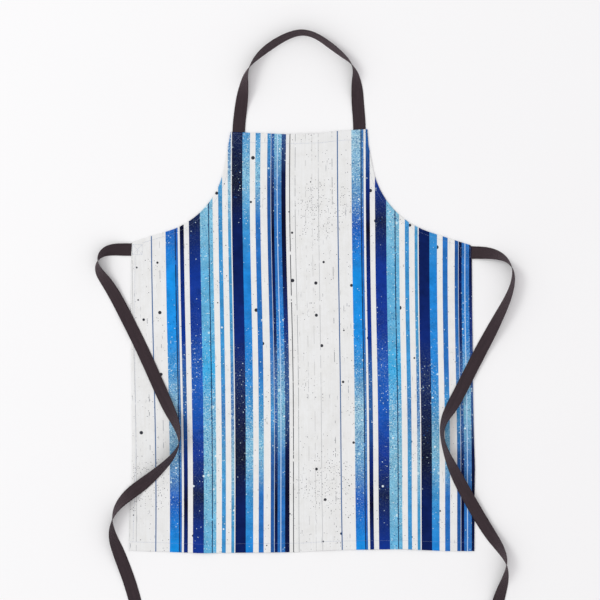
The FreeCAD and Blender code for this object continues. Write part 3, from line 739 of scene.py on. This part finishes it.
def paint_print(nodes, place):
    """The print's colour, from its own coordinates: upright watercolour stripes on white, with spatter."""
    flat = nodes.stretch(place, 1000, 1000, 0)
    parts = nodes.add("ShaderNodeSeparateXYZ", {0: flat})
    u = nodes.math("FLOORED_MODULO", parts.outputs[0], TILE_WIDE)
    bleed = nodes.math("MULTIPLY", nodes.math("SUBTRACT", nodes.noise(flat, 0.5, 2, 0.7), 0.5), 0.4)
    rough_u = nodes.math("ADD", u, bleed)
    ragged = nodes.math("MULTIPLY", nodes.math("SUBTRACT", nodes.noise(flat, 0.12, 3, 0.6), 0.5), 12.0)
    v = nodes.math("FLOORED_MODULO", nodes.math("ADD", parts.outputs[1], ragged), TILE_TALL)
    v = nodes.math("DIVIDE", v, TILE_TALL)

    # White ground, faintly streaked and mottled, with flecks in clusters, dashes along the warp and drops.
    streaks = nodes.noise(nodes.stretch(flat, 0.25, 0.012), 1.0, 4, 0.6)
    white = nodes.mix(nodes.rise(streaks, 0.4, 0.8), linear(235, 236, 236), linear(229, 229, 227))
    white = nodes.mix(nodes.rise(nodes.noise(flat, 0.035, 5, 0.7), 0.45, 0.75), white, linear(226, 226, 224))
    beside = nodes.wrapped(parts.outputs[0], FLECK_SPOT[0], TILE_WIDE, FLECK_REACH)
    above = nodes.wrapped(parts.outputs[1], FLECK_SPOT[1], TILE_TALL, FLECK_REACH)
    thick = nodes.rise(nodes.math("ADD", beside, above), 1.2, 0.1)
    clusters = nodes.rise(nodes.noise(flat, 0.02, 3), 0.5, 0.66)
    chance = nodes.math("ADD", nodes.math("MULTIPLY", thick, 0.3), nodes.math("MULTIPLY", clusters, 0.13))
    flecks = nodes.dots(flat, 0.34, 0.26, nodes.math("ADD", chance, 0.01))
    colour = nodes.mix(nodes.math("MULTIPLY", flecks, 0.8), white, linear(52, 56, 68))
    marks = nodes.noise(nodes.stretch(flat, 0.45, 0.024, shift=(7, 3, 0)), 1.0, 2, 0.6)
    dashes = nodes.rise(marks, 0.70, 0.73)
    colour = nodes.mix(nodes.math("MULTIPLY", dashes, 0.75), colour, linear(62, 70, 90))
    drops = nodes.dots(flat, 0.0165, 0.05, 0.6)
    colour = nodes.mix(nodes.math("MULTIPLY", drops, 0.96), colour, linear(14, 17, 34))

    # Stripes, each with its own run of paints.
    painted = None
    spatter = None
    for number, (start, stop, paints, amounts) in enumerate(STRIPES):
        paints = paints.split()
        heights = [0] + [station + 14 * math.sin(5 * number) for station in STATIONS[1:]] + [TILE_TALL]
        runs = list(zip(heights, paints + paints[:1], amounts + amounts[:1]))
        node = nodes.add("ShaderNodeValToRGB", {0: v})
        band = node.color_ramp
        while len(band.elements) < len(runs):
            band.elements.new(0.5)
        for element, (height, _, _) in zip(band.elements, runs):
            element.position = height / TILE_TALL
        for element, (_, paint, amount) in zip(band.elements, runs):
            element.color = linear(*PAINT[paint])[:3] + (amount,)
        inside = nodes.math("COMPARE", rough_u, (start + stop) / 2, (stop - start) / 2)
        if painted is None:
            painted, spatter, stripe = node.outputs[0], node.outputs[1], inside
        else:
            painted = nodes.mix(inside, painted, node.outputs[0])
            spatter = nodes.mix_number(inside, spatter, node.outputs[1])
            stripe = nodes.math("MAXIMUM", stripe, inside)
    # Watercolour: slow washes and grain, then spatter from fine to large.
    wash = nodes.noise(flat, 0.05, 4, 0.65)
    painted = nodes.mix(1.0, painted, nodes.math("MULTIPLY_ADD", wash, 1.1, 0.45), "MULTIPLY")
    grain = nodes.noise(flat, 0.36, 3, 0.8)
    grainy = nodes.math("MULTIPLY", nodes.rise(grain, 0.5, 0.6), spatter)
    painted = nodes.mix(nodes.math("MULTIPLY", grainy, 0.7), painted, linear(186, 220, 234))
    grainy = nodes.math("MULTIPLY", nodes.rise(grain, 0.48, 0.38), spatter)
    painted = nodes.mix(nodes.math("MULTIPLY", grainy, 0.65), painted, linear(20, 78, 160))
    dark = nodes.dots(nodes.stretch(flat, 1, 1, shift=(5, 17, 0)), 0.3, 0.34,
                      nodes.math("MULTIPLY", spatter, 0.35))
    painted = nodes.mix(nodes.math("MULTIPLY", dark, 0.7), painted, linear(18, 74, 146))
    fine = nodes.dots(flat, 0.34, 0.3, nodes.math("MULTIPLY", spatter, 0.4))
    painted = nodes.mix(nodes.math("MULTIPLY", fine, 0.85), painted, linear(210, 232, 240))
    large = nodes.dots(nodes.stretch(flat, 1, 1, shift=(31, 12, 0)), 0.05, 0.085,
                       nodes.math("MULTIPLY", spatter, 0.45))
    painted = nodes.mix(nodes.math("MULTIPLY", large, 0.9), painted, linear(224, 238, 244))
    drips = nodes.dots(nodes.stretch(flat, 1, 1, shift=(9, 44, 0)), 0.024, 0.07,
                       nodes.math("MULTIPLY", spatter, 0.6))
    painted = nodes.mix(nodes.math("MULTIPLY", drips, 0.75), painted, linear(206, 232, 242))
    colour = nodes.mix(stripe, colour, painted)

    for middle, half, paint, solid, drawn in LINES:
        inside = nodes.math("COMPARE", u, middle, half)
        if drawn < 1:
            broken = nodes.noise(nodes.stretch(flat, 0.004, 0.03, shift=(middle, 0, 0)), 1.0, 3, 0.7)
            gate = 0.5 + (0.5 - drawn) * 0.4
            inside = nodes.math("MULTIPLY", inside, nodes.rise(broken, gate - 0.02, gate + 0.02))
        colour = nodes.mix(nodes.math("MULTIPLY", inside, solid), colour, linear(*paint))
    return colour, flat


def weave_height(nodes, flat, pitch):
    """A plain weave: over and under in both directions."""
    scale = math.pi / pitch
    parts = nodes.add("ShaderNodeSeparateXYZ", {0: flat})
    warp = nodes.math("SINE", nodes.math("MULTIPLY", parts.outputs[0], scale))
    weft = nodes.math("SINE", nodes.math("MULTIPLY", parts.outputs[1], scale))
    return nodes.math("MULTIPLY", warp, weft)


def cloth_material(name, shows):
    """Printed cotton. Shows is 1 on the front; on the back the print only ghosts through."""
    nodes = Nodes(name)
    place = nodes.add("ShaderNodeAttribute", attribute_name="print").outputs["Vector"]
    colour, flat = paint_print(nodes, place)
    if shows < 1:
        colour = nodes.mix(shows, linear(226, 226, 223), colour)
    slubs = nodes.noise(nodes.stretch(flat, 0.9, 0.05), 1.0, 3, 0.7)
    colour = nodes.mix(nodes.math("MULTIPLY", slubs, 0.10), colour,
                       nodes.mix(1.0, colour, (0.55, 0.55, 0.56, 1), "MULTIPLY"))
    weave = weave_height(nodes, flat, 0.55)
    pucker = nodes.noise(nodes.stretch(flat, 0.16, 0.16), 1.0, 2, 0.5)
    height = nodes.math("ADD", nodes.math("MULTIPLY", weave, 0.06), nodes.math("MULTIPLY", pucker, 0.5))
    height = nodes.math("ADD", height, nodes.math("MULTIPLY", slubs, 0.10))
    return nodes.finish(colour, 0.9, height, 0.7 * MM, specular=0.03)


def webbing_material():
    """Dark twill webbing: a herringbone of fine ribs with plain, tighter selvedges, and a painted highlight
    on the rib tops.
    """
    nodes = Nodes("dark webbing")
    weave = nodes.add("ShaderNodeAttribute", attribute_name="weave").outputs["Vector"]
    flat = nodes.stretch(weave, 1000, 1000, 0)
    parts = nodes.add("ShaderNodeSeparateXYZ", {0: flat})
    across, along = parts.outputs[0], parts.outputs[1]
    zigzag = nodes.math("PINGPONG", across, 3.1)
    ribs = nodes.math("SINE", nodes.math("MULTIPLY", nodes.math("ADD", along, zigzag), 2 * math.pi / 1.15))
    ends = nodes.math("SINE", nodes.math("MULTIPLY", across, 2 * math.pi / 0.62))
    edge = nodes.rise(nodes.math("ABSOLUTE", across), 10.6, 11.2)
    cords = nodes.math("SINE", nodes.math("MULTIPLY", along, 2 * math.pi / 0.9))
    body = nodes.math("ADD", nodes.math("MULTIPLY", ribs, 0.7), nodes.math("MULTIPLY", ends, 0.3))
    height = nodes.mix_number(edge, body, cords)
    fuzz = nodes.noise(flat, 1.6, 3, 0.7)
    shade = nodes.noise(nodes.stretch(flat, 0.2, 0.02), 1.0, 3, 0.6)
    tone = nodes.mix(nodes.rise(shade, 0.3, 0.7), linear(43, 33, 37), linear(56, 43, 48))
    # Painted highlight: the raised tops of the ribs are made lighter, as light would catch them.
    tone = nodes.mix(nodes.math("MULTIPLY", nodes.rise(height, -0.2, 1.0), 0.4), tone, linear(78, 62, 68))
    tone = nodes.mix(nodes.math("MULTIPLY", nodes.rise(fuzz, 0.58, 0.75), 0.35), tone, linear(104, 90, 95))
    tone = nodes.mix(nodes.math("MULTIPLY", edge, 0.35), tone, linear(34, 26, 30))
    return nodes.finish(tone, 0.82, height, 0.22 * MM, sheen=0.25,
                        sheen_tint=linear(190, 170, 180), specular=0.25)


def thread_material(name, colour, light):
    """Twisted sewing thread."""
    nodes = Nodes(name)
    place = nodes.add("ShaderNodeTexCoord").outputs["Object"]
    twist = nodes.noise(place, 2600, 2, 0.6)
    tone = nodes.mix(nodes.rise(twist, 0.3, 0.7), linear(*colour), linear(*light))
    return nodes.finish(tone, 0.7, twist, 0.1 * MM, sheen=0.1, specular=0.4)


front = cloth_material("printed cotton", 1.0)
back = cloth_material("cotton, unprinted side", 0.16)
dark_webbing = webbing_material()
pale_thread = thread_material("pale blue thread", (118, 136, 176), (146, 162, 196))
dark_thread = thread_material("dark thread", (38, 29, 33), (66, 53, 58))

# ---------------------------------------------------------------- the cords first
neck = resting_route("neck", NECK_ROUTE, True)
left = resting_route("left", LEFT_ROUTE, False)
right = resting_route("right", RIGHT_ROUTE, False)


def whole_ribbon(name, way, node):
    rings, weave = ribbon_rings(way["centre"], way["heading"], way["tilt"], way["steps"], way["curl"])
    return make_ribbon(name, rings, weave, dark_webbing, [node])


def make_end_fold(name, way, layer, node):
    """The folded-over free end: a short upper or lower layer and the round of the fold at the tip."""
    steps, centre, heading, tilt = way["steps"], way["centre"], way["heading"], way["tilt"]
    keep = steps >= steps[-1] - END_FOLD
    lift = np.array([0, 0, layer * WEBBING_THICK * 1.04])
    centres, headings = list(centre[keep] + lift), list(heading[keep])
    alongs = list(2 * steps[-1] - steps[keep])
    tip, ahead = centre[-1], np.array([*heading[-1], 0])
    for angle in (30, 60, 90, 120, 150):
        turn = math.radians(angle)
        outward = ahead * math.sin(turn) * WEBBING_THICK * 0.55
        centres.append(tip + lift / 2 + lift / 2 * math.cos(turn) + outward)
        headings.append(heading[-1])
        alongs.append(alongs[-1] - 0.3 * MM)
    count = len(centres)
    rings, weave = ribbon_rings(centres, headings, [tilt[-1]] * count, alongs, [0] * count)
    return make_ribbon(name, rings, weave, dark_webbing, [node])


def make_end_stitches(name, way, layer, node):
    """Stitches across the folded end."""
    number = int(np.argmin(np.abs(way["steps"] - (way["steps"][-1] - END_FOLD + 4 * MM))))
    centre, heading = way["centre"][number], np.array([*way["heading"][number], 0])
    side = np.array([heading[1], -heading[0], 0])
    top = WEBBING_THICK * (0.5 + (1 if layer > 0 else 0)) + 0.05 * MM
    places = np.arange(-3, 4) * STITCH_PITCH
    centres = [centre + side * place + np.array([0, 0, top]) for place in places]
    points, faces = stitch_mesh(centres, [side] * len(centres), [np.array([0, 0, 1.0])] * len(centres))
    return make_piece(name, points, faces, [dark_thread], [node])


neck_piece = whole_ribbon("neck_strap_webbing", neck, "neck_strap")
left_piece = whole_ribbon("left_tie_webbing", left, "left_waist_tie")
right_piece = whole_ribbon("right_tie_webbing", right, "right_waist_tie")
left_fold = make_end_fold("left_tie_fold", left, 1, "left_tie_end_hem")
right_fold = make_end_fold("right_tie_fold", right, -1, "right_tie_end_hem")
left_row = make_end_stitches("left_tie_end_stitches", left, 1, "left_tie_end_thread")
right_row = make_end_stitches("right_tie_end_stitches", right, -1, "right_tie_end_thread")

# ---------------------------------------------------------------- the cloth
panel = make_panel([front, back])

side_line = even([(HALF_WIDTH, BOTTOM + BOTTOM_TURNING), (HALF_WIDTH, TIE_GAP_LOW)], 4 * MM)
bottom_line = even([(-HALF_WIDTH + 0.5 * MM, BOTTOM), (HALF_WIDTH - 0.5 * MM, BOTTOM)], 4 * MM)
bib_line = even([(-NECK_GAP_IN, TOP), (NECK_GAP_IN, TOP)], 4 * MM)
arm_line = armhole_line(3 * MM, low=WAIST + 1 * MM, high=NECK_GAP_LOW)
arm_normals = inward_normals(arm_line)
# At the waist corner the turning stops at the tie, so it narrows there.
arm_depths = np.minimum(SIDE_TURNING, (arm_line[:, 1] - TIE_GAP_HIGH) / np.maximum(-arm_normals[:, 1], 1e-3))
arm_depths = np.where(arm_depths <= 0, SIDE_TURNING, arm_depths)
arm_depths = np.maximum(arm_depths, 1.6 * MM)

def all_facing(line, x, y):
    """The same plan direction at each point of a line."""
    return np.tile([x, y], (len(line), 1))


extras = [
    make_turning("bottom_turning", bottom_line, all_facing(bottom_line, 0.0, 1.0), BOTTOM_TURNING, front,
                 "bottom_hem"),
    make_turning("bib_turning", bib_line, all_facing(bib_line, 0.0, -1.0), BIB_TURNING, front, "bib_hem"),
    make_turning("right_side_turning", side_line, all_facing(side_line, -1.0, 0.0), SIDE_TURNING, front,
                 "right_side_hem"),
    make_turning("left_side_turning", flipped(side_line), all_facing(side_line, 1.0, 0.0), SIDE_TURNING,
                 front, "left_side_hem"),
    make_turning("right_armhole_turning", arm_line, arm_normals, arm_depths, front, "right_armhole_hem"),
    make_turning("left_armhole_turning", flipped(arm_line), flipped(arm_normals), arm_depths, front,
                 "left_armhole_hem"),
]

seam_depth = SIDE_TURNING - SEAM_INSET
seam_low = BOTTOM + BOTTOM_TURNING - SEAM_INSET
side_seam = np.array([(HALF_WIDTH - seam_depth, seam_low + 2 * MM), (HALF_WIDTH - seam_depth, TIE_GAP_LOW)])
arm_seam = arm_line + arm_normals * seam_depth
arm_seam = arm_seam[(arm_seam[:, 1] > TIE_GAP_HIGH) & (arm_seam[:, 1] < NECK_GAP_LOW)]
bottom_seam = np.array([(-HALF_WIDTH + 2 * MM, seam_low), (HALF_WIDTH - 2 * MM, seam_low)])
bib_seam_y = TOP - BIB_TURNING + SEAM_INSET
bib_seam = np.array([(-NECK_GAP_IN, bib_seam_y), (NECK_GAP_IN, bib_seam_y)])


def box_lines(x, y):
    """A square of stitches with both diagonals."""
    a = BOX_SIDE / 2
    corners = [(x - a, y - a), (x + a, y - a), (x + a, y + a), (x - a, y + a)]
    lines = [np.array([corners[k], corners[(k + 1) % 4]]) for k in range(4)]
    lines += [np.array([corners[0], corners[2]]), np.array([corners[1], corners[3]])]
    return lines


BOX_INSET = WEBBING_WIDTH / 2  # from the cloth's edge to the middle of the box
neck_box = (NECK_ROOT[0], TOP - BOX_INSET)
tie_box = (HALF_WIDTH - BOX_INSET, TIE_ROOT[1])
extras += [
    make_stitches("bottom_seam", [bottom_seam], pale_thread, "bottom_hem_thread"),
    make_stitches("bib_seam", [bib_seam], pale_thread, "bib_hem_thread"),
    make_stitches("right_side_seam", [side_seam], pale_thread, "right_side_hem_thread"),
    make_stitches("left_side_seam", [flipped(side_seam)], pale_thread, "left_side_hem_thread"),
    make_stitches("right_armhole_seam", [arm_seam], pale_thread, "right_armhole_thread"),
    make_stitches("left_armhole_seam", [flipped(arm_seam)], pale_thread, "left_armhole_thread"),
    make_stitches("right_neck_box", box_lines(*neck_box), pale_thread, "right_neck_box_stitch"),
    make_stitches("left_neck_box", [flipped(l) for l in box_lines(*neck_box)], pale_thread,
                  "left_neck_box_stitch"),
    make_stitches("right_tie_box", box_lines(*tie_box), pale_thread, "right_tie_box_stitch"),
    make_stitches("left_tie_box", [flipped(l) for l in box_lines(*tie_box)], pale_thread,
                  "left_tie_box_stitch"),
]

# ---------------------------------------------------------------- floor and light
floor_mesh = bpy.data.meshes.new("floor")
floor_mesh.from_pydata([(-6, -6, 0), (6, -6, 0), (6, 6, 0), (-6, 6, 0)], [], [(0, 1, 2, 3)])
floor = bpy.data.objects.new("floor", floor_mesh)
bpy.context.collection.objects.link(floor)
floor_nodes = Nodes("floor")
floor_noise = floor_nodes.noise(floor_nodes.add("ShaderNodeTexCoord").outputs["Object"], 3.0, 2)
floor_tone = floor_nodes.mix(floor_noise, (0.90, 0.90, 0.905, 1), (0.91, 0.91, 0.912, 1))
floor_mesh.materials.append(floor_nodes.finish(floor_tone, 0.9, floor_noise, 0.0, specular=0.0))

world = bpy.data.worlds.new("studio")
bpy.context.scene.world = world
world.use_nodes = True
world.node_tree.nodes["Background"].inputs[0].default_value = (1.0, 0.983, 0.998, 1)
world.node_tree.nodes["Background"].inputs[1].default_value = 0.86


def area_light(name, place, size, power, colour=(1, 1, 1)):
    light = bpy.data.lights.new(name, "AREA")
    light.shape, light.size, light.energy, light.color = "DISK", size, power, colour
    lamp = bpy.data.objects.new(name, light)
    lamp.location = place
    lamp.rotation_euler = (Vector((0, 0, 0)) - Vector(place)).to_track_quat("-Z", "Y").to_euler()
    bpy.context.collection.objects.link(lamp)


area_light("key", (-5.2, 2.0, 5.6), 3.2, 165, (0.97, 1.0, 0.97))
bpy.context.scene.view_settings.view_transform = "Standard"
